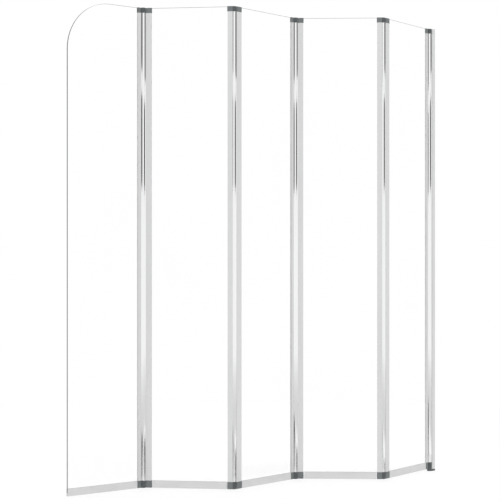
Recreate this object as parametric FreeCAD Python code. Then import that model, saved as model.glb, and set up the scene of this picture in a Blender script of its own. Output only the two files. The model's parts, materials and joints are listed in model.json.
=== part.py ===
import FreeCAD, Part
import math
import os

# Folding bath screen: five clear glass panels joined in a row by full-height hinges.
# The frame is in millimetres with +Z up. The wall is the plane x = 0 and the screen reaches out along -X.
# z = 0 is the rim of the bath. Panel 1 hangs on the wall and panel 5 has the free, rounded corner.
# Every piece is drawn with the screen pulled straight along y = 0, then turned into its zigzag.

# Overall sizes
overall_height = 1200.0
panel_pitch = 226.9
free_panel_reach = 216.5
corner_radius = 120.0
glass_thickness = 4.0
glass_arris = 0.4

# Zigzag at rest: how far each hinge is folded, from the wall outwards
rest_folds_deg = (27.0, 55.0, 50.0, 55.0, 45.0)

# Hinge extrusions: one leaf carries the barrel, the other hooks round it
barrel_wall = 1.7
running_gap = 0.3
leg_wall = 1.0
gasket_wall = 0.3
gasket_inset = 0.2
web_width = 3.5
swing_leg = 5.2
barrel_leg = 10.2
swing_lip = 2.5
barrel_lip = 3.5
fold_gap = 0.6
leaf_round = 0.35

# End caps of the hinge leaves
top_cap_height = 13.0
bottom_cap_height = 18.0
cap_overhang = 1.0
cap_proud = 0.1
cap_roof = 0.8
cap_edge = 0.5
cap_corner = 1.0
pocket_gap = 0.2
port_radius = 1.3
port_wall = 0.9
spigot_gap = 0.05
spigot_length = 9.0

# Pivot pins and barrel bushes
pin_radius = 2.0
pin_gap = 0.05
bush_wall = 2.43
pin_seat_gap = 0.02
pin_grip = 9.0
pin_reach = 14.0
bush_length = 11.0
bush_seat_gap = 0.02
bush_flange = 0.8
bush_flange_inset = 0.6
axial_gap = 0.2

# Bottom seal strips
seal_grip = 10.0
seal_wall = 1.0
seal_glass_gap = 0.05
seal_base = 2.0
seal_lip_wall = 0.9
seal_end_gap = 1.2

# Wall channel, its post and its foot
channel_depth = 9.0
channel_width = 15.0
channel_wall = 1.2
channel_base = 1.5
channel_round = 0.6
mouth_gap = 0.8
tail_gap = 0.3
tail_wall = 1.2
tail_plate = 1.4
tail_setback = 0.7
wall_hole_radius = 2.75
outer_hole_share = 0.42
inner_hole_share = 0.14
foot_thickness = 5.0
foot_clearance = 0.5
foot_edge = 0.5
plug_gap = 0.3
plug_height = 10.0
channel_cap_thickness = 1.0

# Screws that hold the post in the channel
screw_shank_radius = 1.9
screw_hole_gap = 0.1
screw_head_radius = 3.4
screw_head_height = 1.6
screw_head_round = 0.7
screw_recess_width = 0.8
screw_recess_length = 3.6
screw_recess_depth = 0.9
screw_shares = (0.1, 0.5, 0.9)

# One overrun serves every cut, and places closer than this count as one
overrun = 1.0
same_place = 0.001

# Sizes that follow from those above
bush_radius = pin_radius + pin_gap + bush_wall
bore_radius = bush_radius + bush_seat_gap
barrel_radius = bore_radius + barrel_wall
leaf_thickness = glass_thickness + 2 * (gasket_wall + leg_wall)
axis_offset = (leaf_thickness + fold_gap) / 2
near_depth = axis_offset - leaf_thickness / 2
far_depth = axis_offset + leaf_thickness / 2
slot_start = barrel_radius + running_gap + web_width
glass_start = slot_start + gasket_wall
port_reach = slot_start - port_wall - port_radius
slot_half = glass_thickness / 2 + gasket_wall
caps_bottom = foot_thickness + foot_clearance
leaf_bottom = caps_bottom + bottom_cap_height
leaf_top = overall_height - top_cap_height
glass_bottom = leaf_bottom - seal_grip
glass_top = overall_height - cap_roof - pocket_gap
barrel_bottom = leaf_bottom + bush_flange + axial_gap
barrel_top = leaf_top - bush_flange - axial_gap
wall_axis_x = -(channel_depth + mouth_gap + barrel_radius)
channel_top = overall_height - channel_cap_thickness
seal_half = glass_thickness / 2 + seal_glass_gap + seal_wall

up = FreeCAD.Vector(0, 0, 1)


def box(x_ends, y_ends, z_ends):
    """A block between two places along each axis, given in any order."""
    low = [min(ends) for ends in (x_ends, y_ends, z_ends)]
    high = [max(ends) for ends in (x_ends, y_ends, z_ends)]
    sides = [b - a for a, b in zip(low, high)]
    return Part.makeBox(*sides, FreeCAD.Vector(*low))


def cylinder(radius, x, y, z_ends):
    """An upright cylinder."""
    height = max(z_ends) - min(z_ends)
    return Part.makeCylinder(radius, height, FreeCAD.Vector(x, y, min(z_ends)), up)


def uprights_at(shape, x):
    """The vertical edges of a shape that stand at one x."""

    def stands(edge):
        first = edge.Vertexes[0].Point
        last = edge.Vertexes[-1].Point
        return abs(first.x - x) + abs(last.x - x) + abs(first.y - last.y) < same_place

    return [edge for edge in shape.Edges if stands(edge)]


def outline_at(shape, z):
    """The edges of a shape's flat end at one height."""
    faces = [face for face in shape.Faces if abs(face.CenterOfMass.z - z) < same_place]
    end = max(faces, key=lambda face: face.Area)
    return end.OuterWire.Edges


class Hinge:
    """One upright pivot of the straightened screen.

    side is -1 where the hinge folds shut towards -Y and +1 towards +Y. A place beside it is given as a
    reach along the panel and a depth from the pivot, which is positive on the side that folds shut.
    """

    def __init__(self, x, side):
        self.x = x
        self.side = side
        self.y = side * axis_offset

    def along(self, outward, reach):
        """The x at some reach from the pivot, outward to the free end or back to the wall."""
        return self.x - reach if outward else self.x + reach

    def block(self, outward, reaches, depths, heights):
        """A block beside the pivot, on its free side or its wall side."""
        x_ends = [self.along(outward, reach) for reach in reaches]
        y_ends = [self.y + self.side * depth for depth in depths]
        return box(x_ends, y_ends, heights)

    def drum(self, radius, heights):
        """A cylinder on the pivot."""
        return cylinder(radius, self.x, self.y, heights)

    def post(self, outward, radius, heights):
        """A cylinder on the middle plane, where the leaf's port for its end caps runs."""
        return cylinder(radius, self.along(outward, port_reach), 0, heights)


def hinge_row():
    """The pivots from the wall to the free panel, folding to -Y and +Y in turn."""
    return [Hinge(wall_axis_x - panel_pitch * i, -1 if i % 2 == 0 else 1) for i in range(len(rest_folds_deg))]


def lip_reach(outward):
    """Where the lip of a leaf starts beside the pivot: the swing leaf, outward, covers more of the barrel."""
    return swing_lip if outward else barrel_lip


def leaf_reach(outward):
    """How far a leaf reaches from its pivot: the swing leaf has the shorter legs."""
    return slot_start + (swing_leg if outward else barrel_leg)


def cap_reach(outward):
    """How far the caps on a leaf's ends reach from the pivot."""
    return leaf_reach(outward) + cap_overhang


def glass_slot(hinge, outward, half, start, end, heights):
    """The space along a leaf that holds the edge of the glass or its gasket."""
    return hinge.block(outward, (start, end), (-axis_offset - half, -axis_offset + half), heights)


def leaf_blank(hinge, outward):
    """The flat part of a hinge leaf, with its slot for the glass and its port for the end caps."""
    heights = (leaf_bottom, leaf_top)
    start = lip_reach(outward)
    end = leaf_reach(outward)
    leaf = hinge.block(outward, (start, end), (-far_depth, -near_depth), heights)
    for reach in (start, end):
        leaf = leaf.makeFillet(leaf_round, uprights_at(leaf, hinge.along(outward, reach)))
    past = (leaf_bottom - overrun, leaf_top + overrun)
    leaf = leaf.cut(glass_slot(hinge, outward, slot_half, slot_start, end + overrun, past))
    return leaf.cut(hinge.post(outward, port_radius, past))


def with_barrel(hinge, leaf):
    """A leaf joined to the barrel that it carries, with the barrel's bore."""
    barrel = hinge.drum(barrel_radius, (barrel_bottom, barrel_top))
    past = (leaf_bottom - overrun, leaf_top + overrun)
    for ends in ((leaf_bottom - overrun, barrel_bottom), (barrel_top, leaf_top + overrun)):
        leaf = leaf.cut(hinge.drum(barrel_radius + running_gap, ends))
    return leaf.fuse(barrel).cut(hinge.drum(bore_radius, past)).removeSplitter()


def barrel_leaf(hinge):
    """The leaf that carries the barrel, on the hinge's wall side."""
    return with_barrel(hinge, leaf_blank(hinge, outward=False))


def swing_leaf(hinge):
    """The leaf that hooks round the barrel and turns about it, on the hinge's free side."""
    past = (leaf_bottom - overrun, leaf_top + overrun)
    return leaf_blank(hinge, outward=True).cut(hinge.drum(barrel_radius + running_gap, past))


def end_cap(hinge, outward, at_top):
    """A moulded cap on the end of a leaf; on a swing leaf, outward, it has the knuckle for a pivot pin."""
    outer = overall_height if at_top else caps_bottom
    inner = leaf_top if at_top else leaf_bottom
    inward = -1 if at_top else 1
    depths = (-far_depth - cap_proud, -near_depth + cap_proud)
    end = cap_reach(outward)
    cap = hinge.block(outward, (lip_reach(outward), end), depths, (outer, inner))
    cap = cap.makeFillet(cap_corner, uprights_at(cap, hinge.along(outward, end)))
    past = (outer - inward * overrun, inner + inward * overrun)
    if outward:
        cap = cap.fuse(hinge.drum(barrel_radius, (outer, inner))).removeSplitter()
    else:
        cap = cap.cut(hinge.drum(barrel_radius + running_gap, past))
    cap = cap.makeChamfer(cap_edge, outline_at(cap, outer))
    floor = glass_top + pocket_gap if at_top else glass_bottom - pocket_gap
    half = glass_thickness / 2 + pocket_gap
    pocket_ends = (floor, inner + inward * overrun)
    pocket_start = glass_start - pocket_gap
    cap = cap.cut(glass_slot(hinge, outward, half, pocket_start, end + overrun, pocket_ends))
    spigot_ends = (inner - inward * cap_edge, inner + inward * spigot_length)
    cap = cap.fuse(hinge.post(outward, port_radius - spigot_gap, spigot_ends)).removeSplitter()
    if outward:
        hole_ends = (inner - inward * pin_grip, inner + inward * overrun)
        cap = cap.cut(hinge.drum(pin_radius + pin_seat_gap, hole_ends))
    return cap


def pivot_pins(hinge):
    """The two steel pins on one pivot, each held in a knuckle and reaching into the barrel."""
    lower = hinge.drum(pin_radius, (leaf_bottom - pin_grip, leaf_bottom + pin_reach))
    upper = hinge.drum(pin_radius, (leaf_top - pin_reach, leaf_top + pin_grip))
    return Part.makeCompound([lower, upper])


def barrel_bushes(hinge):
    """The two flanged bushes in the ends of one barrel."""
    flange_radius = barrel_radius - bush_flange_inset
    bushes = []
    for end, inward in ((barrel_bottom, 1), (barrel_top, -1)):
        flange_ends = (end - inward * bush_flange, end)
        sleeve_ends = (end - inward * bush_flange, end + inward * bush_length)
        past = (end - inward * (bush_flange + overrun), end + inward * (bush_length + overrun))
        bush = hinge.drum(bush_radius, sleeve_ends)
        bush = bush.fuse(hinge.drum(flange_radius, flange_ends)).removeSplitter()
        bushes.append(bush.cut(hinge.drum(pin_radius + pin_gap, past)))
    return Part.makeCompound(bushes)


def gasket(hinge, outward):
    """The soft channel between a leaf and the edge of the glass."""
    heights = (leaf_bottom, leaf_top)
    past = (leaf_bottom - overrun, leaf_top + overrun)
    end = leaf_reach(outward)
    outer = glass_slot(hinge, outward, slot_half, slot_start, end - gasket_inset, heights)
    return outer.cut(glass_slot(hinge, outward, glass_thickness / 2, glass_start, end, past))


def arrised(plate):
    """A glass plate with its sharp edges ground off."""
    half = glass_thickness / 2
    faces = [face for face in plate.Faces if abs(abs(face.CenterOfMass.y) - half) < same_place]
    edges = [edge for face in faces for edge in face.OuterWire.Edges]
    return plate.makeChamfer(glass_arris, edges)


def glass_between(x_wall_side, x_free_side):
    """A plain rectangular pane."""
    half = glass_thickness / 2
    return arrised(box((x_wall_side, x_free_side), (-half, half), (glass_bottom, glass_top)))


def rounded_glass(x_wall_side, x_free_side):
    """The free pane, whose upper outer corner is one large round."""
    y = -glass_thickness / 2

    def point(x, z):
        return FreeCAD.Vector(x, y, z)

    x_round = x_free_side + corner_radius
    z_round = glass_top - corner_radius
    diagonal = corner_radius * math.sqrt(0.5)
    start = point(x_round, glass_top)
    middle = point(x_round - diagonal, z_round + diagonal)
    end = point(x_free_side, z_round)
    foot = point(x_free_side, glass_bottom)
    heel = point(x_wall_side, glass_bottom)
    head = point(x_wall_side, glass_top)
    edges = [Part.Arc(start, middle, end).toShape()]
    for first, last in ((end, foot), (foot, heel), (heel, head), (head, start)):
        edges.append(Part.LineSegment(first, last).toShape())
    pane = Part.Face(Part.Wire(edges)).extrude(FreeCAD.Vector(0, glass_thickness, 0))
    return arrised(pane)


def bottom_seal(x_wall_side, x_free_side):
    """A push-on strip under the glass: two gripping legs, a base and a pair of wiping lips."""
    half = seal_half
    grip = half - seal_wall
    base_top = glass_bottom
    base_low = glass_bottom - seal_base
    foot = caps_bottom
    notch_top = base_low
    side = [(half, leaf_bottom), (grip, leaf_bottom), (grip, base_top)]
    other_side = [(-y, z) for y, z in reversed(side)]
    lips = [(-half, foot), (-half + seal_lip_wall, foot), (-grip + seal_lip_wall, notch_top)]
    other_lips = [(-y, z) for y, z in reversed(lips)]
    outline = side + other_side + lips + other_lips
    points = [FreeCAD.Vector(x_wall_side, y, z) for y, z in outline]
    wire = Part.makePolygon(points + points[:1])
    return Part.Face(wire).extrude(FreeCAD.Vector(x_free_side - x_wall_side, 0, 0))


def hole_heights():
    """Heights of the channel's holes for wall screws, as two pairs about its middle."""
    middle = overall_height / 2
    shares = (-outer_hole_share, -inner_hole_share, inner_hole_share, outer_hole_share)
    return [middle + share * overall_height for share in shares]


def screw_heights():
    """Heights of the screws that hold the post in the channel."""
    return [foot_thickness + share * (channel_top - foot_thickness) for share in screw_shares]


def screw_x():
    """Where those screws stand along the channel's side, midway along the post's tail."""
    return -(channel_depth - tail_plate + tail_setback + channel_base) / 2


def across(radius, y_ends, x, z):
    """A cylinder through the channel's side, along Y."""
    length = max(y_ends) - min(y_ends)
    return Part.makeCylinder(radius, length, FreeCAD.Vector(x, min(y_ends), z), FreeCAD.Vector(0, 1, 0))


def wall_channel():
    """The shallow aluminium channel that is screwed to the wall."""
    half = channel_width / 2
    heights = (foot_thickness, channel_top)
    past = (foot_thickness - overrun, channel_top + overrun)
    channel = box((-channel_depth, 0), (-half, half), heights)
    channel = channel.makeFillet(channel_round, uprights_at(channel, -channel_depth))
    inside = half - channel_wall
    channel = channel.cut(box((-channel_depth - overrun, -channel_base), (-inside, inside), past))
    for z in hole_heights():
        start = FreeCAD.Vector(-channel_base - overrun, 0, z)
        length = channel_base + 2 * overrun
        channel = channel.cut(Part.makeCylinder(wall_hole_radius, length, start, FreeCAD.Vector(1, 0, 0)))
    for z in screw_heights():
        hole = across(screw_shank_radius + screw_hole_gap, (inside - overrun, half + overrun), screw_x(), z)
        channel = channel.cut(hole)
    return channel


def wall_post(hinge):
    """The post of the wall hinge: its barrel, its web, and a tail that is screwed inside the channel."""
    heights = (foot_thickness, channel_top)
    past = (foot_thickness - overrun, channel_top + overrun)
    half = channel_width / 2 - channel_wall - tail_gap
    inside = half - tail_wall
    plate_x = -(channel_depth - tail_plate)
    end_x = -(channel_base + tail_setback)
    tail = box((-channel_depth, end_x), (-half, half), heights)
    tail = tail.cut(box((plate_x, end_x + overrun), (-inside, inside), past))
    web_reach = barrel_radius + mouth_gap
    depths = (-far_depth, -near_depth)
    web = hinge.block(False, (barrel_lip, web_reach), depths, (leaf_bottom, leaf_top))
    web = web.makeFillet(leaf_round, uprights_at(web, hinge.along(False, barrel_lip)))
    post = with_barrel(hinge, web).fuse(tail).removeSplitter()
    for z in screw_heights():
        post = post.cut(across(screw_shank_radius + pin_seat_gap, (0, half + overrun), screw_x(), z))
    return post


def post_screws():
    """Pan-head screws through the channel's far side into the post's tail."""
    face_y = channel_width / 2
    tip_y = face_y - channel_wall - tail_gap - tail_wall
    x = screw_x()
    screws = []
    for z in screw_heights():
        head = across(screw_head_radius, (face_y, face_y + screw_head_height), x, z)
        rim = [e for e in head.Edges if abs(e.CenterOfMass.y - face_y - screw_head_height) < same_place]
        head = head.makeFillet(screw_head_round, rim)
        depth = (face_y + screw_head_height - screw_recess_depth, face_y + screw_head_height + overrun)
        wide = screw_recess_length / 2
        thin = screw_recess_width / 2
        for along_x, along_z in ((wide, thin), (thin, wide)):
            head = head.cut(box((x - along_x, x + along_x), depth, (z - along_z, z + along_z)))
        screws.append(head.fuse(across(screw_shank_radius, (tip_y, face_y), x, z)))
    return Part.makeCompound(screws)


def channel_plug(z_ends):
    """A block that fits inside the post's tail, to hold an end piece on the channel."""
    half = channel_width / 2 - channel_wall - tail_gap - tail_wall - plug_gap
    x_ends = (-(channel_depth - tail_plate - plug_gap), -(channel_base + plug_gap))
    return box(x_ends, (-half, half), z_ends)


def channel_foot(hinge):
    """The dark foot on the rim of the bath, under the channel and the wall hinge's barrel."""
    half = channel_width / 2
    heights = (0, foot_thickness)
    foot = box((-channel_depth, 0), (-half, half), heights)
    nose_ends = (hinge.y - barrel_radius, hinge.y + barrel_radius)
    foot = foot.fuse(box((hinge.x, -channel_depth), nose_ends, heights))
    foot = foot.fuse(hinge.drum(barrel_radius, heights)).removeSplitter()
    foot = foot.makeChamfer(foot_edge, outline_at(foot, foot_thickness))
    return foot.fuse(channel_plug((foot_thickness - foot_edge, foot_thickness + plug_height)))


def channel_cap():
    """The pale cap that closes the top of the channel."""
    half = channel_width / 2
    cap = box((-channel_depth, 0), (-half, half), (channel_top, overall_height))
    return cap.fuse(channel_plug((channel_top - plug_height, channel_top)))


def rest_turns(hinges):
    """The placement of each panel in the zigzag, from the wall outwards."""
    placement = FreeCAD.Placement()
    turns = []
    for hinge, fold in zip(hinges, rest_folds_deg):
        turn = FreeCAD.Rotation(up, -hinge.side * fold)
        pivot = FreeCAD.Vector(hinge.x, hinge.y, 0)
        placement = placement.multiply(FreeCAD.Placement(FreeCAD.Vector(), turn, pivot))
        turns.append(placement)
    return turns


def wall_pieces(hinge):
    """The pieces that stay still on the wall."""
    return {
        "wall_channel": wall_channel(),
        "wall_channel_foot": channel_foot(hinge),
        "wall_channel_cap": channel_cap(),
        "wall_post": wall_post(hinge),
        "post_fixing_screws": post_screws(),
        "hinge_1_bushes": barrel_bushes(hinge),
    }


def wall_side_pieces(number, hinge):
    """What a panel carries along its edge nearer the wall: the swing leaf of the hinge with its number."""
    name = f"hinge_{number}"
    return {
        f"{name}_swing_leaf": swing_leaf(hinge),
        f"{name}_swing_leaf_top_cap": end_cap(hinge, outward=True, at_top=True),
        f"{name}_swing_leaf_bottom_cap": end_cap(hinge, outward=True, at_top=False),
        f"{name}_pivot_pins": pivot_pins(hinge),
    }


def free_side_pieces(number, hinge):
    """What a panel carries along its other edge: the barrel leaf of the next hinge."""
    name = f"hinge_{number}"
    return {
        f"{name}_barrel_leaf": barrel_leaf(hinge),
        f"{name}_barrel_leaf_top_cap": end_cap(hinge, outward=False, at_top=True),
        f"{name}_barrel_leaf_bottom_cap": end_cap(hinge, outward=False, at_top=False),
        f"{name}_bushes": barrel_bushes(hinge),
    }


def panel_pieces(number, hinges):
    """Every piece of one panel, with the screen pulled straight."""
    near = hinges[number - 1]
    near_x = near.x - glass_start
    seal_near_x = near.x - cap_reach(outward=True) - seal_end_gap
    pieces = wall_side_pieces(number, near)
    gaskets = [gasket(near, outward=True)]
    if number < len(hinges):
        far = hinges[number]
        pane = glass_between(near_x, far.x + glass_start)
        seal = bottom_seal(seal_near_x, far.x + cap_reach(outward=False) + seal_end_gap)
        gaskets.append(gasket(far, outward=False))
        pieces.update(free_side_pieces(number + 1, far))
    else:
        pane = rounded_glass(near_x, near.x - free_panel_reach)
        seal = bottom_seal(seal_near_x, near.x - free_panel_reach)
    pieces[f"glass_panel_{number}"] = pane
    pieces[f"glazing_gaskets_{number}"] = Part.makeCompound(gaskets)
    pieces[f"bottom_seal_{number}"] = seal
    return pieces


def main():
    os.makedirs("parts", exist_ok=True)
    hinges = hinge_row()
    turns = rest_turns(hinges)
    for name, shape in wall_pieces(hinges[0]).items():
        shape.exportStep(f"parts/{name}.step")
    for number, turn in enumerate(turns, start=1):
        pivot = turn.multVec(FreeCAD.Vector(hinges[number - 1].x, hinges[number - 1].y, 0))
        print(f"hinge {number} pivot at x {pivot.x:.4f} y {pivot.y:.4f}")
        for name, shape in panel_pieces(number, hinges).items():
            shape.transformed(turn.toMatrix(), True).exportStep(f"parts/{name}.step")


main()
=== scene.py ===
"""Finishes for a folding bath screen: clear glass, satin aluminium hinges, dark end caps and pale seals.

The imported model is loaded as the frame, each piece gets its finish, and a plain white studio is set
round it.
"""

import json
import math

import bpy
from bpy.props import FloatProperty, FloatVectorProperty, PointerProperty
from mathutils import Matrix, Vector


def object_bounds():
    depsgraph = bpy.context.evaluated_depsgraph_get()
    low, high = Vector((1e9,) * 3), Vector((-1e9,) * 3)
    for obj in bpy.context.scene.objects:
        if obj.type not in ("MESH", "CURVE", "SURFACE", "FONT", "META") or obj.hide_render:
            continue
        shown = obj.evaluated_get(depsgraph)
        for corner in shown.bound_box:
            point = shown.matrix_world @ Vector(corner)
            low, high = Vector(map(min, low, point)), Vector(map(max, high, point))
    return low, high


bl_info = {
    "name": "Folding Bath Screen",
    "version": (1, 0, 0),
    "blender": (4, 5, 0),
    "location": "View3D > Sidebar > Bath Screen",
    "description": "Finishes the pieces of a folding bath screen and sets up its studio",
    "category": "Object",
}

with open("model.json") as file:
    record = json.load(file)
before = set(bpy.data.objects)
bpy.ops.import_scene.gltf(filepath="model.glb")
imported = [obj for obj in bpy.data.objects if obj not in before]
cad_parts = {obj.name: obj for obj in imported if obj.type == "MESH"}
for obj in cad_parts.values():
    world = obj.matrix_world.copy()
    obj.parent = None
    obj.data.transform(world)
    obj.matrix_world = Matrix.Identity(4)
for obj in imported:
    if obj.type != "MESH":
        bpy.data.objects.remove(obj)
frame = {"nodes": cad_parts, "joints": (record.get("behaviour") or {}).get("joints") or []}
CAD_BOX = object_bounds()
NODES = frame["nodes"]
JOINTS = frame["joints"]
HINGE_COUNT = len(JOINTS)


# Fixed values of the finishes

# Noise scales along X, Y and Z, per metre
GLASS_WAVE = (3.0, 3.0, 3.0)
EDGE_MARKS = (700.0, 700.0, 700.0)
DRAW_LINES = (900.0, 900.0, 1.2)
LEAF_CLOUD = (14.0, 14.0, 3.0)
PLASTIC_SPARK = (2600.0, 2600.0, 2600.0)
PLASTIC_CLOUD = (60.0, 60.0, 60.0)
VINYL_LINES = (4.0, 4.0, 1400.0)
VINYL_CLOUD = (18.0, 18.0, 60.0)
TURNING_MARKS = (300.0, 300.0, 5000.0)
CLOTH_WEAVE = (3.0, 3.0, 3.0)
FLOOR_CLOUD = (0.8, 0.8, 0.8)

# Octaves of the noises, and the part of their range in which most of their values lie
CLOUD_DETAIL = 3.0
FINE_DETAIL = 2.0
NOISE_BAND = (0.3, 0.7)

# The darkest and lightest tone of each finish, as shares of its colour
GLASS_TONES = (0.995, 1.0)
EDGE_TONES = (0.92, 1.06)
LEAF_TONES = (0.97, 1.02)
BARREL_TONES = (0.98, 1.0)
PLASTIC_TONES = (0.93, 1.06)
VINYL_TONES = (0.96, 1.03)
STEEL_TONES = (0.94, 1.04)
CLOTH_TONES = (0.9, 1.0)
FLOOR_TONES = (0.99, 1.0)

# How far the roughness of a finish swings about its value
ROUGHNESS_SWING = 0.05
LEAF_SWING = 0.03

# Depth of the relief in metres, and its strength
DRAW_RELIEF = (0.00002, 0.25)
SPARK_RELIEF = (0.00003, 0.5)
VINYL_RELIEF = (0.00003, 0.4)
TURNING_RELIEF = (0.00002, 0.3)

# Refractive index of the glass and of the plastics
GLASS_IOR = 1.5
PLASTIC_IOR = 1.5

# A face of a pane counts as flat where the cosine of its tilt is at least this
FLAT_FACE = 0.9

# Where the polish of a barrel runs out, in metres beyond its radius
BARREL_RIM = (0.0001, 0.0002)

# Roughness of the floor and of the cards' cloth
MATT = 0.9

# Sockets of the mix node: its factor, and the inputs and the output for numbers and for colours
MIX_FACTOR = 0
MIX_NUMBERS = (2, 3)
MIX_NUMBER_OUT = 0
MIX_COLOURS = (6, 7)
MIX_COLOUR_OUT = 2


# Fixed values of the studio, lengths in metres

FLOOR_SIDE = 40.0
KEY_RISE = 0.7
FRAME_WIDTH_MM = 36.0
FLAG_STEPS = 12
SLAT_FOOT = 0.002
MAT_HEIGHT = 0.001

# Rows of dark flags: share of the flag colour, lower and upper edge, and sectors in degrees from +X
FLAG_ROWS = (
    (1.0, (1.06, 1.66), ((132.0, 203.0), (276.0, 337.5))),
    (2.6, (1.82, 2.6), ((112.0, 215.0), (300.0, 400.0))),
)


# Helpers for node trees


def set_socket(tree, socket, value):
    """Links an input to the output of a node, or gives it a plain value."""
    if isinstance(value, bpy.types.NodeSocket):
        tree.links.new(value, socket)
    else:
        socket.default_value = value


def add_node(tree, kind, values=None, **settings):
    """A shader node with its settings, and its inputs set or linked by name or number."""
    node = tree.nodes.new(kind)
    for key, value in settings.items():
        setattr(node, key, value)
    for socket, value in (values or {}).items():
        set_socket(tree, node.inputs[socket], value)
    return node


def new_finish(name, **sockets):
    """A material with one principled surface, whose plain values are set on its own sockets."""
    material = bpy.data.materials.new(name)
    material.use_nodes = True
    surface = material.node_tree.nodes["Principled BSDF"]
    for socket, value in sockets.items():
        label = socket.replace("_", " ").title().replace("Ior", "IOR")
        surface.inputs[label].default_value = value
    return material, material.node_tree, surface


def fed_by(surface, label):
    """The output that an input of a surface is linked to."""
    return surface.inputs[label].links[0].from_socket


def stretched_noise(tree, scales, detail=CLOUD_DETAIL):
    """Noise in the model's own space, with its own scale along each axis."""
    place = add_node(tree, "ShaderNodeTexCoord").outputs["Object"]
    mapped = add_node(tree, "ShaderNodeMapping", {"Vector": place, "Scale": scales}).outputs["Vector"]
    values = {"Vector": mapped, "Scale": 1.0, "Detail": detail}
    return add_node(tree, "ShaderNodeTexNoise", values).outputs["Fac"]


def remap(tree, value, from_ends, to_ends):
    """A value carried from one range to another, and held at its ends."""
    values = {"Value": value, "From Min": from_ends[0], "From Max": from_ends[1]}
    values.update({"To Min": to_ends[0], "To Max": to_ends[1]})
    return add_node(tree, "ShaderNodeMapRange", values).outputs["Result"]


def math_node(tree, operation, first, second):
    """One step of arithmetic."""
    return add_node(tree, "ShaderNodeMath", {0: first, 1: second}, operation=operation).outputs["Value"]


def blend_colours(tree, factor, first, second):
    """One colour or the other, by a factor."""
    mix = add_node(tree, "ShaderNodeMix", {MIX_FACTOR: factor}, data_type="RGBA")
    for number, colour in zip(MIX_COLOURS, (first, second)):
        plain = not isinstance(colour, bpy.types.NodeSocket)
        set_socket(tree, mix.inputs[number], (*colour, 1.0) if plain else colour)
    return mix.outputs[MIX_COLOUR_OUT]


def blend_values(tree, factor, first, second):
    """One number or the other, by a factor."""
    values = dict(zip((MIX_FACTOR, *MIX_NUMBERS), (factor, first, second)))
    return add_node(tree, "ShaderNodeMix", values, data_type="FLOAT").outputs[MIX_NUMBER_OUT]


def tone(colour, share):
    """A colour made lighter or darker."""
    return tuple(channel * share for channel in colour)


def tones(tree, noise, colour, shares):
    """A colour that runs between two tones of itself as a noise rises."""
    node = add_node(tree, "ShaderNodeValToRGB", {"Fac": noise})
    for element, place, share in zip(node.color_ramp.elements, NOISE_BAND, shares):
        element.position = place
        element.color = (*tone(colour, share), 1.0)
    return node.outputs["Color"]


def vary_colour(tree, surface, noise, colour, shares):
    """Gives a surface a colour that is uneven with a noise."""
    tree.links.new(tones(tree, noise, colour, shares), surface.inputs["Base Color"])


def vary_roughness(tree, surface, noise, roughness, swing=ROUGHNESS_SWING):
    """Gives a surface a roughness that swings about its value with a noise."""
    rough = remap(tree, noise, NOISE_BAND, (roughness - swing, roughness + swing))
    tree.links.new(rough, surface.inputs["Roughness"])


def raise_surface(tree, surface, height, relief):
    """Gives a surface relief from a height map."""
    depth, strength = relief
    bump = add_node(tree, "ShaderNodeBump", {"Height": height, "Distance": depth, "Strength": strength})
    tree.links.new(bump.outputs["Normal"], surface.inputs["Normal"])


def axis_reach(tree, axis):
    """How far a point lies from an upright axis."""
    place = add_node(tree, "ShaderNodeTexCoord").outputs["Object"]
    flat = add_node(tree, "ShaderNodeVectorMath", {0: place, 1: (1.0, 1.0, 0.0)}, operation="MULTIPLY")
    values = {0: flat.outputs["Vector"], 1: (axis[0], axis[1], 0.0)}
    return add_node(tree, "ShaderNodeVectorMath", values, operation="DISTANCE").outputs["Value"]


# Helpers for the CAD pieces


def finish_node(name, material):
    """Gives one CAD piece its finish, and leaves it out of what its neighbours mirror."""
    slots = NODES[name].data.materials
    slots.clear()
    slots.append(material)
    NODES[name].visible_glossy = False


def nodes_ending(ending):
    """The names of the CAD pieces with an ending."""
    return [name for name in sorted(NODES) if name.endswith(ending)]


def nodes_starting(start):
    """The names of the CAD pieces with a beginning."""
    return [name for name in sorted(NODES) if name.startswith(start)]


# Finishes


def clear_glass(settings):
    """Clear float glass, faintly uneven in tint, that mirrors less than plain glass."""
    material, tree, surface = new_finish(
        "clear_glass", transmission_weight=1.0, ior=GLASS_IOR, roughness=0.0)
    surface.inputs["Specular Tint"].default_value = (*[settings.face_gloss] * 3, 1.0)
    vary_colour(tree, surface, stretched_noise(tree, GLASS_WAVE), settings.face_colour, GLASS_TONES)
    return material


def cut_edge(settings):
    """The ground and polished edge of the glass, dark because it lets no light straight through."""
    material, tree, surface = new_finish("cut_edge", ior=GLASS_IOR)
    marks = stretched_noise(tree, EDGE_MARKS, FINE_DETAIL)
    vary_colour(tree, surface, marks, settings.edge_colour, EDGE_TONES)
    vary_roughness(tree, surface, marks, settings.edge_roughness)
    return material


def finish_edges(number, material):
    """Gives the narrow faces round a pane, its arrises too, the finish of the cut edge."""
    pane = NODES[f"glass_panel_{number}"].data
    facing = max(pane.polygons, key=lambda face: face.area).normal.copy()
    pane.materials.append(material)
    for face in pane.polygons:
        face.material_index = int(abs(face.normal.dot(facing)) < FLAT_FACE)


def extruded_aluminium(name, settings):
    """Satin anodised extrusion with fine draw lines."""
    material, tree, surface = new_finish(name, metallic=settings.leaf_metal)
    lines = stretched_noise(tree, DRAW_LINES, FINE_DETAIL)
    cloud = stretched_noise(tree, LEAF_CLOUD, FINE_DETAIL)
    vary_colour(tree, surface, cloud, settings.leaf_colour, LEAF_TONES)
    vary_roughness(tree, surface, lines, settings.leaf_roughness, LEAF_SWING)
    raise_surface(tree, surface, lines, DRAW_RELIEF)
    return material


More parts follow.
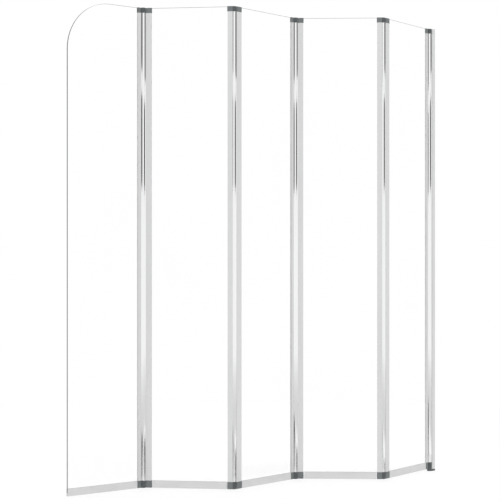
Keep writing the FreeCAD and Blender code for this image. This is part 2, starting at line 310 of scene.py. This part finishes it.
def polish_barrel(material, settings, axis):
    """Polishes what lies within the barrel's radius of a hinge axis."""
    tree = material.node_tree
    surface = tree.nodes["Principled BSDF"]
    rim = [settings.barrel_radius + margin for margin in BARREL_RIM]
    barrel = remap(tree, axis_reach(tree, axis), rim, (1.0, 0.0))
    cloud = stretched_noise(tree, LEAF_CLOUD, FINE_DETAIL)
    polished = tones(tree, cloud, settings.barrel_colour, BARREL_TONES)
    colour = blend_colours(tree, barrel, fed_by(surface, "Base Color"), polished)
    tree.links.new(colour, surface.inputs["Base Color"])
    rough = blend_values(tree, barrel, fed_by(surface, "Roughness"), settings.barrel_roughness)
    tree.links.new(rough, surface.inputs["Roughness"])
    metal = blend_values(tree, barrel, settings.leaf_metal, 1.0)
    tree.links.new(metal, surface.inputs["Metallic"])


def moulded_plastic(name, colour, roughness):
    """Moulded plastic with a fine spark texture and slightly uneven colour."""
    material, tree, surface = new_finish(name, ior=PLASTIC_IOR)
    spark = stretched_noise(tree, PLASTIC_SPARK, FINE_DETAIL)
    vary_colour(tree, surface, stretched_noise(tree, PLASTIC_CLOUD), colour, PLASTIC_TONES)
    vary_roughness(tree, surface, spark, roughness)
    raise_surface(tree, surface, spark, SPARK_RELIEF)
    return material


def paint_knuckle_shade(material, settings, axis):
    """Paints shade on a cap round the hinge axis, where its knuckle is: a darker colour that stands in for
    the shading and the dark reflections of the curved knuckle.
    """
    tree = material.node_tree
    surface = tree.nodes["Principled BSDF"]
    # Painted shade: the cap's colour runs to the darker knuckle colour near the hinge axis
    knuckle = remap(tree, axis_reach(tree, axis), settings.knuckle_shade_reach, (1.0, 0.0))
    colour = blend_colours(tree, knuckle, fed_by(surface, "Base Color"), settings.knuckle_shade_and_foot_colour)
    tree.links.new(colour, surface.inputs["Base Color"])


def extruded_vinyl(name, colour, roughness):
    """Soft extruded vinyl with faint level lines."""
    material, tree, surface = new_finish(name, ior=PLASTIC_IOR)
    lines = stretched_noise(tree, VINYL_LINES, FINE_DETAIL)
    vary_colour(tree, surface, stretched_noise(tree, VINYL_CLOUD), colour, VINYL_TONES)
    vary_roughness(tree, surface, lines, roughness)
    raise_surface(tree, surface, lines, VINYL_RELIEF)
    return material


def turned_steel(name, colour, roughness):
    """Stainless steel with fine level marks, as from turning."""
    material, tree, surface = new_finish(name, metallic=1.0)
    marks = stretched_noise(tree, TURNING_MARKS, FINE_DETAIL)
    vary_colour(tree, surface, marks, colour, STEEL_TONES)
    vary_roughness(tree, surface, marks, roughness)
    raise_surface(tree, surface, marks, TURNING_RELIEF)
    return material


# Settings that a user would change


class GlassSettings(bpy.types.PropertyGroup):
    """Looks of the panes"""
    face_colour: FloatVectorProperty(
        name="Face colour", description="Tint of the glass faces", subtype="COLOR", size=3,
        min=0.0, max=1.0, default=(1.0, 1.0, 1.0))
    face_gloss: FloatProperty(
        name="Face gloss", description="How much the glass mirrors, as a share of plain glass",
        subtype="FACTOR", min=0.0, max=1.0, default=0.25)
    edge_colour: FloatVectorProperty(
        name="Edge colour", description="Colour of the ground edges", subtype="COLOR", size=3,
        min=0.0, max=1.0, default=(0.16, 0.18, 0.175))
    edge_roughness: FloatProperty(
        name="Edge roughness", description="How matt the ground edges are", subtype="FACTOR",
        min=0.0, max=1.0, default=0.3)


class MetalSettings(bpy.types.PropertyGroup):
    """Looks of the aluminium and the steel"""
    leaf_colour: FloatVectorProperty(
        name="Leaf colour", description="Colour of the satin hinge leaves", subtype="COLOR", size=3,
        min=0.0, max=1.0, default=(0.7, 0.705, 0.705))
    leaf_metal: FloatProperty(
        name="Leaf metal", description="How much of the anodised leaves mirrors, beside what scatters",
        subtype="FACTOR", min=0.0, max=1.0, default=0.2)
    leaf_roughness: FloatProperty(
        name="Leaf roughness", description="How matt the hinge leaves are", subtype="FACTOR",
        min=0.0, max=1.0, default=0.5)
    barrel_colour: FloatVectorProperty(
        name="Barrel colour", description="Colour of the polished hinge barrels", subtype="COLOR", size=3,
        min=0.0, max=1.0, default=(0.9, 0.905, 0.905))
    barrel_roughness: FloatProperty(
        name="Barrel roughness", description="How matt the hinge barrels are", subtype="FACTOR",
        min=0.0, max=1.0, default=0.06)
    barrel_radius: FloatProperty(
        name="Barrel radius", description="Radius of the hinge barrels", unit="LENGTH", default=0.0062)
    steel_colour: FloatVectorProperty(
        name="Steel colour", description="Colour of the pivot pins and screws", subtype="COLOR", size=3,
        min=0.0, max=1.0, default=(0.56, 0.555, 0.545))
    pin_roughness: FloatProperty(
        name="Pin roughness", description="How matt the pivot pins are", subtype="FACTOR",
        min=0.0, max=1.0, default=0.25)
    screw_roughness: FloatProperty(
        name="Screw roughness", description="How matt the screws are", subtype="FACTOR",
        min=0.0, max=1.0, default=0.3)


class PlasticSettings(bpy.types.PropertyGroup):
    """Looks of the caps, the seals and the other plastic pieces"""
    cap_colour: FloatVectorProperty(
        name="Cap colour", description="Colour of the dark end caps", subtype="COLOR", size=3,
        min=0.0, max=1.0, default=(0.155, 0.168, 0.171))
    cap_roughness: FloatProperty(
        name="Cap roughness", description="How matt the end caps and the foot are", subtype="FACTOR",
        min=0.0, max=1.0, default=0.45)
    # Painted shade of the caps' curved knuckles round the hinge axis; also the foot's own colour
    knuckle_shade_and_foot_colour: FloatVectorProperty(
        name="Knuckle colour", description="Colour of the caps round the hinge axis, and of the foot",
        subtype="COLOR", size=3, min=0.0, max=1.0, default=(0.077, 0.086, 0.088))
    # How far the painted knuckle shade reaches from the hinge axis
    knuckle_shade_reach: FloatVectorProperty(
        name="Knuckle reach", description="Where the darker knuckle ends, from the hinge axis",
        subtype="XYZ", unit="LENGTH", size=2, default=(0.0064, 0.0078))
    seal_colour: FloatVectorProperty(
        name="Seal colour", description="Colour of the bottom seals", subtype="COLOR", size=3,
        min=0.0, max=1.0, default=(0.66, 0.66, 0.66))
    seal_roughness: FloatProperty(
        name="Seal roughness", description="How matt the bottom seals are", subtype="FACTOR",
        min=0.0, max=1.0, default=0.4)
    gasket_colour: FloatVectorProperty(
        name="Gasket colour", description="Colour of the glazing gaskets", subtype="COLOR", size=3,
        min=0.0, max=1.0, default=(0.86, 0.86, 0.85))
    gasket_roughness: FloatProperty(
        name="Gasket roughness", description="How matt the glazing gaskets are", subtype="FACTOR",
        min=0.0, max=1.0, default=0.6)
    bush_colour: FloatVectorProperty(
        name="Bush colour", description="Colour of the pivot bushes", subtype="COLOR", size=3,
        min=0.0, max=1.0, default=(0.82, 0.82, 0.79))
    bush_roughness: FloatProperty(
        name="Bush roughness", description="How matt the pivot bushes are", subtype="FACTOR",
        min=0.0, max=1.0, default=0.4)
    channel_cap_colour: FloatVectorProperty(
        name="Channel cap colour", description="Colour of the cap on the wall channel",
        subtype="COLOR", size=3, min=0.0, max=1.0, default=(0.62, 0.62, 0.62))
    channel_cap_roughness: FloatProperty(
        name="Channel cap roughness", description="How matt the cap on the wall channel is",
        subtype="FACTOR", min=0.0, max=1.0, default=0.5)


class StudioSettings(bpy.types.PropertyGroup):
    """Camera, light, floor and cards of the studio"""
    camera_place: FloatVectorProperty(
        name="Camera place", description="Where the camera stands", subtype="TRANSLATION", unit="LENGTH",
        size=3, default=(-2.131, -3.229, 0.5692))
    camera_heading: FloatProperty(
        name="Camera heading", description="Turn of the level camera from +Y towards +X", subtype="ANGLE",
        default=math.radians(26.0))
    lens: FloatProperty(
        name="Lens", description="Focal length on a 36 mm frame, in millimetres", default=101.4)
    rise: FloatProperty(
        name="Rise", description="Upward shift of the frame, as a share of its width", default=0.0225)
    fill: FloatProperty(
        name="Fill", description="Strength of the even light from all round", default=0.88)
    key_strength: FloatProperty(
        name="Key strength", description="Brightness of the large soft lamp in front", default=0.5)
    key_side: FloatProperty(
        name="Key side", description="Width and height of the large soft lamp", unit="LENGTH", default=3.0)
    key_reach: FloatProperty(
        name="Key reach", description="How far the lamp stands from the screen", unit="LENGTH", default=3.4)
    floor_share: FloatProperty(
        name="Floor tone", description="How much light the floor returns", subtype="FACTOR", default=0.25)
    floor_glow: FloatProperty(
        name="Floor glow", description="What lifts the open floor to white", default=0.8)
    floor_near: FloatProperty(
        name="Floor near", description="Where the floor starts to run out", unit="LENGTH", default=0.9)
    floor_far: FloatProperty(
        name="Floor far", description="Where the floor is plain white", unit="LENGTH", default=2.2)
    flag_reach: FloatProperty(
        name="Flag reach", description="How far the dark flags stand from the screen", unit="LENGTH",
        default=6.0)
    flag_colour: FloatVectorProperty(
        name="Flag colour", description="Colour of the lower row of dark flags", subtype="COLOR", size=3,
        min=0.0, max=1.0, default=(0.08, 0.08, 0.08))
    slat_near: FloatProperty(
        name="Slat near end", description="Where the floor slats start, from below the camera",
        unit="LENGTH", default=2.8)
    slat_far: FloatProperty(
        name="Slat far end", description="Where the floor slats end, from below the camera",
        unit="LENGTH", default=4.9)
    slat_first: FloatProperty(
        name="First slat", description="Turn of the first slat from the camera's heading", subtype="ANGLE",
        default=math.radians(-18.0))
    slat_last: FloatProperty(
        name="Last slat", description="Turn that no slat goes beyond, from the camera's heading",
        subtype="ANGLE", default=math.radians(7.7))
    slat_step: FloatProperty(
        name="Slat step", description="Turn from one slat to the next", subtype="ANGLE",
        default=math.radians(0.57))
    slat_height: FloatProperty(
        name="Slat height", description="Height of the floor slats", unit="LENGTH", default=0.04)
    slat_clear: FloatProperty(
        name="Slat openness", description="Share of light that passes a slat", subtype="FACTOR",
        default=0.86)
    slat_colour: FloatVectorProperty(
        name="Slat colour", description="Colour of the floor slats and the mat", subtype="COLOR", size=3,
        min=0.0, max=1.0, default=(0.05, 0.05, 0.05))
    mat_inner: FloatVectorProperty(
        name="Mat inner rim", description="Between which radii the floor mat starts", subtype="XYZ",
        unit="LENGTH", size=2, default=(0.9, 1.3))
    mat_outer: FloatVectorProperty(
        name="Mat outer rim", description="Between which radii the floor mat ends", subtype="XYZ",
        unit="LENGTH", size=2, default=(2.0, 5.0))
    mat_clear: FloatProperty(
        name="Mat openness", description="Share of light that passes the floor mat", subtype="FACTOR",
        default=0.72)


# Operators for the groups of like pieces


class BATHSCREEN_OT_glass_panes(bpy.types.Operator):
    """Finish the five panes in clear glass with dark cut edges"""
    bl_idname = "bathscreen.glass_panes"
    bl_label = "Glass Panes"

    def execute(self, context):
        settings = context.scene.bath_screen_glass
        glass = clear_glass(settings)
        edge = cut_edge(settings)
        for number in range(1, HINGE_COUNT + 1):
            finish_node(f"glass_panel_{number}", glass)
            finish_edges(number, edge)
        return {"FINISHED"}


class BATHSCREEN_OT_hinge_leaves(bpy.types.Operator):
    """Finish the hinge leaves and the wall post in satin aluminium with polished barrels"""
    bl_idname = "bathscreen.hinge_leaves"
    bl_label = "Hinge Leaves"

    def execute(self, context):
        settings = context.scene.bath_screen_metal
        plain = extruded_aluminium("satin_leaf", settings)
        for name in nodes_ending("_swing_leaf"):
            finish_node(name, plain)
        for number, joint in enumerate(JOINTS, start=1):
            carrier = "wall_post" if number == 1 else f"hinge_{number}_barrel_leaf"
            material = extruded_aluminium(f"barrel_leaf_{number}", settings)
            polish_barrel(material, settings, joint["pos_m"])
            finish_node(carrier, material)
        return {"FINISHED"}


class BATHSCREEN_OT_end_caps(bpy.types.Operator):
    """Finish the hinge caps and the foot in dark moulded plastic, with painted shade on the caps' knuckles
    """
    bl_idname = "bathscreen.end_caps"
    bl_label = "End Caps"

    def execute(self, context):
        settings = context.scene.bath_screen_plastic
        foot = moulded_plastic("dark_foot", settings.knuckle_shade_and_foot_colour, settings.cap_roughness)
        finish_node("wall_channel_foot", foot)
        for number, joint in enumerate(JOINTS, start=1):
            material = moulded_plastic(f"dark_cap_{number}", settings.cap_colour, settings.cap_roughness)
            # Painted shade on the knuckle of each cap, round its hinge axis
            paint_knuckle_shade(material, settings, joint["pos_m"])
            for name in nodes_starting(f"hinge_{number}_"):
                if name.endswith("_cap"):
                    finish_node(name, material)
        return {"FINISHED"}


class BATHSCREEN_OT_seals(bpy.types.Operator):
    """Finish the bottom seals and the glazing gaskets in soft vinyl"""
    bl_idname = "bathscreen.seals"
    bl_label = "Seals and Gaskets"

    def execute(self, context):
        settings = context.scene.bath_screen_plastic
        seal = extruded_vinyl("seal_vinyl", settings.seal_colour, settings.seal_roughness)
        gasket = extruded_vinyl("gasket_vinyl", settings.gasket_colour, settings.gasket_roughness)
        for name in nodes_starting("bottom_seal_"):
            finish_node(name, seal)
        for name in nodes_starting("glazing_gaskets_"):
            finish_node(name, gasket)
        return {"FINISHED"}


class BATHSCREEN_OT_pivots(bpy.types.Operator):
    """Finish the pivot pins in steel and their bushes in pale plastic"""
    bl_idname = "bathscreen.pivots"
    bl_label = "Pivots"

    def execute(self, context):
        metal = context.scene.bath_screen_metal
        plastic = context.scene.bath_screen_plastic
        steel = turned_steel("pin_steel", metal.steel_colour, metal.pin_roughness)
        bush = moulded_plastic("bush_plastic", plastic.bush_colour, plastic.bush_roughness)
        for name in nodes_ending("_pivot_pins"):
            finish_node(name, steel)
        for name in nodes_ending("_bushes"):
            finish_node(name, bush)
        return {"FINISHED"}


class BATHSCREEN_OT_wall_channel(bpy.types.Operator):
    """Finish the wall channel, its cap and its screws"""
    bl_idname = "bathscreen.wall_channel"
    bl_label = "Wall Channel"

    def execute(self, context):
        metal = context.scene.bath_screen_metal
        plastic = context.scene.bath_screen_plastic
        cap = moulded_plastic("pale_cap", plastic.channel_cap_colour, plastic.channel_cap_roughness)
        screws = turned_steel("screw_steel", metal.steel_colour, metal.screw_roughness)
        finish_node("wall_channel", extruded_aluminium("channel_aluminium", metal))
        finish_node("wall_channel_cap", cap)
        finish_node("post_fixing_screws", screws)
        return {"FINISHED"}


# The studio


def seen_directly(tree):
    """1 for rays from the camera, or by way of metal or glass, and 0 for the rest."""
    path = add_node(tree, "ShaderNodeLightPath")
    bright = math_node(tree, "MAXIMUM", path.outputs["Is Camera Ray"], path.outputs["Is Glossy Ray"])
    return math_node(tree, "MAXIMUM", bright, path.outputs["Is Transmission Ray"])


def white_surround(settings):
    """A world that the camera, glass and metal see as white, and that lights the rest evenly."""
    world = bpy.data.worlds.new("white_surround")
    world.use_nodes = True
    tree = world.node_tree
    tree.nodes.clear()
    strength = blend_values(tree, seen_directly(tree), settings.fill, 1.0)
    values = {"Color": (1.0, 1.0, 1.0, 1.0), "Strength": strength}
    background = add_node(tree, "ShaderNodeBackground", values)
    add_node(tree, "ShaderNodeOutputWorld", {"Surface": background.outputs[0]})
    return world


def white_floor(settings):
    """A pale floor that looks white in the open, keeps the screen's shadow and runs out into white."""
    material, tree, surface = new_finish("white_floor", roughness=MATT, specular_ior_level=0.0)
    place = add_node(tree, "ShaderNodeTexCoord").outputs["Object"]
    reach = add_node(tree, "ShaderNodeVectorMath", {0: place}, operation="LENGTH").outputs["Value"]
    near = remap(tree, reach, (settings.floor_near, settings.floor_far), (1.0, 0.0))
    ends = [share * settings.floor_share for share in FLOOR_TONES]
    shade = remap(tree, stretched_noise(tree, FLOOR_CLOUD), NOISE_BAND, ends)
    tree.links.new(math_node(tree, "MULTIPLY", near, shade), surface.inputs["Base Color"])
    surface.inputs["Emission Color"].default_value = (1.0, 1.0, 1.0, 1.0)
    glow = remap(tree, near, (0.0, 1.0), (1.0, settings.floor_glow))
    tree.links.new(glow, surface.inputs["Emission Strength"])
    material.cycles.emission_sampling = "NONE"
    return material


def soft_lamp(name, place, target, side, strength):
    """A large square lamp that faces a point, and that no surface mirrors."""
    data = bpy.data.lights.new(name, "AREA")
    data.shape = "SQUARE"
    data.size = side
    data.energy = strength * math.pi * side ** 2
    lamp = bpy.data.objects.new(name, data)
    lamp.location = place
    lamp.rotation_euler = (target - place).to_track_quat("-Z", "Y").to_euler()
    lamp.visible_glossy = False
    bpy.context.scene.collection.objects.link(lamp)


def card_cloth(name, colour, clear=0.0):
    """Dull cloth of the cards, partly open where asked, and not seen in the glass or from inside it."""
    material, tree, surface = new_finish(name, roughness=MATT, specular_ior_level=0.0)
    vary_colour(tree, surface, stretched_noise(tree, CLOTH_WEAVE), colour, CLOTH_TONES)
    path = add_node(tree, "ShaderNodeLightPath")
    by_glass = math_node(
        tree, "MAXIMUM", path.outputs["Transmission Depth"], path.outputs["Is Singular Ray"])
    solid = remap(tree, by_glass, (0.0, 1.0), (1.0 - clear, 0.0))
    tree.links.new(solid, surface.inputs["Alpha"])
    return material


def mirrored_only(name, corners, faces, material):
    """A stage card that shows in what mirrors it, and nowhere else."""
    mesh = bpy.data.meshes.new(name)
    mesh.from_pydata(corners, [], faces)
    mesh.materials.append(material)
    card = bpy.data.objects.new(name, mesh)
    bpy.context.scene.collection.objects.link(card)
    card.visible_camera = False
    card.visible_diffuse = False
    card.visible_transmission = False
    card.visible_shadow = False


def dark_flag(name, centre, headings, heights, reach, material):
    """A curved dark card, upright on the ring round the studio."""
    corners = []
    for height in heights:
        for step in range(FLAG_STEPS + 1):
            heading = math.radians(headings[0] + (headings[1] - headings[0]) * step / FLAG_STEPS)
            across, along = reach * math.cos(heading), reach * math.sin(heading)
            corners.append((centre.x + across, centre.y + along, height))
    row = FLAG_STEPS + 1
    faces = [(i, i + 1, row + i + 1, row + i) for i in range(FLAG_STEPS)]
    mirrored_only(name, corners, faces, material)


def floor_slats(name, settings, material):
    """Low upright slats that fan out from below the camera, and darken the floor that lies across them."""
    foot = Vector(settings.camera_place)
    near, far = settings.slat_near, settings.slat_far
    low, high = CAD_BOX[0].z + SLAT_FOOT, settings.slat_height
    count = math.ceil((settings.slat_last - settings.slat_first) / settings.slat_step)
    corners = []
    for number in range(count):
        heading = settings.camera_heading + settings.slat_first + number * settings.slat_step
        for reach, height in ((near, low), (far, low), (far, high), (near, high)):
            across, along = reach * math.sin(heading), reach * math.cos(heading)
            corners.append((foot.x + across, foot.y + along, height))
    faces = [(i, i + 1, i + 2, i + 3) for i in range(0, len(corners), 4)]
    mirrored_only(name, corners, faces, material)


def floor_mat(name, middle, settings, material):
    """A mat on the floor round the screen, whose cloth opens towards its inner and outer rims."""
    tree = material.node_tree
    surface = tree.nodes["Principled BSDF"]
    reach = axis_reach(tree, middle)
    inner = remap(tree, reach, settings.mat_inner, (0.0, 1.0))
    outer = remap(tree, reach, settings.mat_outer, (1.0, 0.0))
    band = math_node(tree, "MULTIPLY", inner, outer)
    solid = math_node(tree, "MULTIPLY", fed_by(surface, "Alpha"), band)
    tree.links.new(solid, surface.inputs["Alpha"])
    half = settings.mat_outer[1]
    corners = [(middle.x + across * half, middle.y + along * half, CAD_BOX[0].z + MAT_HEIGHT)
               for across, along in ((-1, -1), (1, -1), (1, 1), (-1, 1))]
    mirrored_only(name, corners, [(0, 1, 2, 3)], material)


def set_cards(settings, middle):
    """Sets the dark flags, the floor slats and the floor mat round the screen."""
    for share, heights, sectors in FLAG_ROWS:
        cloth = card_cloth("flag_cloth", tone(settings.flag_colour, share))
        for headings in sectors:
            dark_flag("flag", middle, headings, heights, settings.flag_reach, cloth)
    floor_slats("slats", settings, card_cloth("slat_cloth", settings.slat_colour, settings.slat_clear))
    floor_mat("mat", middle, settings, card_cloth("mat_cloth", settings.slat_colour, settings.mat_clear))


def set_camera(scene, settings):
    """Stands the level camera in its place and makes it the scene's own."""
    data = bpy.data.cameras.new("camera")
    data.lens = settings.lens
    data.sensor_width = FRAME_WIDTH_MM
    data.shift_y = settings.rise
    camera = bpy.data.objects.new("camera", data)
    camera.location = settings.camera_place
    ahead = Vector((math.sin(settings.camera_heading), math.cos(settings.camera_heading), 0.0))
    camera.rotation_euler = ahead.to_track_quat("-Z", "Y").to_euler()
    scene.collection.objects.link(camera)
    scene.camera = camera


class BATHSCREEN_OT_studio(bpy.types.Operator):
    """Set up the white floor and surround, the soft lamp, the stage cards and the camera"""
    bl_idname = "bathscreen.studio"
    bl_label = "Studio"

    def execute(self, context):
        settings = context.scene.bath_screen_studio
        context.scene.world = white_surround(settings)
        context.scene.view_settings.view_transform = "Standard"
        middle = (CAD_BOX[0] + CAD_BOX[1]) / 2
        bpy.ops.mesh.primitive_plane_add(size=FLOOR_SIDE, location=(middle.x, middle.y, CAD_BOX[0].z))
        floor = context.active_object
        floor.name = "floor"
        floor.data.materials.append(white_floor(settings))
        key_place = middle + Vector((0.0, -settings.key_reach, KEY_RISE))
        soft_lamp("key", key_place, middle, settings.key_side, settings.key_strength)
        set_cards(settings, middle)
        set_camera(context.scene, settings)
        return {"FINISHED"}


# Sidebar and registration


class BATHSCREEN_PT_sidebar(bpy.types.Panel):
    """Sizes, colours and steps of the bath screen"""
    bl_label = "Bath Screen"
    bl_idname = "BATHSCREEN_PT_sidebar"
    bl_space_type = "VIEW_3D"
    bl_region_type = "UI"
    bl_category = "Bath Screen"

    def draw(self, context):
        for group in SETTINGS:
            box = self.layout.box()
            for key in SETTINGS[group].__annotations__:
                box.prop(getattr(context.scene, group), key)
        for operator in OPERATORS:
            self.layout.operator(operator.bl_idname)


SETTINGS = {
    "bath_screen_glass": GlassSettings,
    "bath_screen_metal": MetalSettings,
    "bath_screen_plastic": PlasticSettings,
    "bath_screen_studio": StudioSettings,
}
OPERATORS = (
    BATHSCREEN_OT_glass_panes,
    BATHSCREEN_OT_hinge_leaves,
    BATHSCREEN_OT_end_caps,
    BATHSCREEN_OT_seals,
    BATHSCREEN_OT_pivots,
    BATHSCREEN_OT_wall_channel,
    BATHSCREEN_OT_studio,
)


def register():
    for group, kind in SETTINGS.items():
        bpy.utils.register_class(kind)
        setattr(bpy.types.Scene, group, PointerProperty(type=kind))
    for kind in (*OPERATORS, BATHSCREEN_PT_sidebar):
        bpy.utils.register_class(kind)


def unregister():
    for kind in (BATHSCREEN_PT_sidebar, *reversed(OPERATORS)):
        bpy.utils.unregister_class(kind)
    for group, kind in SETTINGS.items():
        delattr(bpy.types.Scene, group)
        bpy.utils.unregister_class(kind)


def main():
    register()
    bpy.ops.bathscreen.glass_panes()
    bpy.ops.bathscreen.hinge_leaves()
    bpy.ops.bathscreen.end_caps()
    bpy.ops.bathscreen.seals()
    bpy.ops.bathscreen.pivots()
    bpy.ops.bathscreen.wall_channel()
    bpy.ops.bathscreen.studio()


if __name__ == "__main__":
    main()
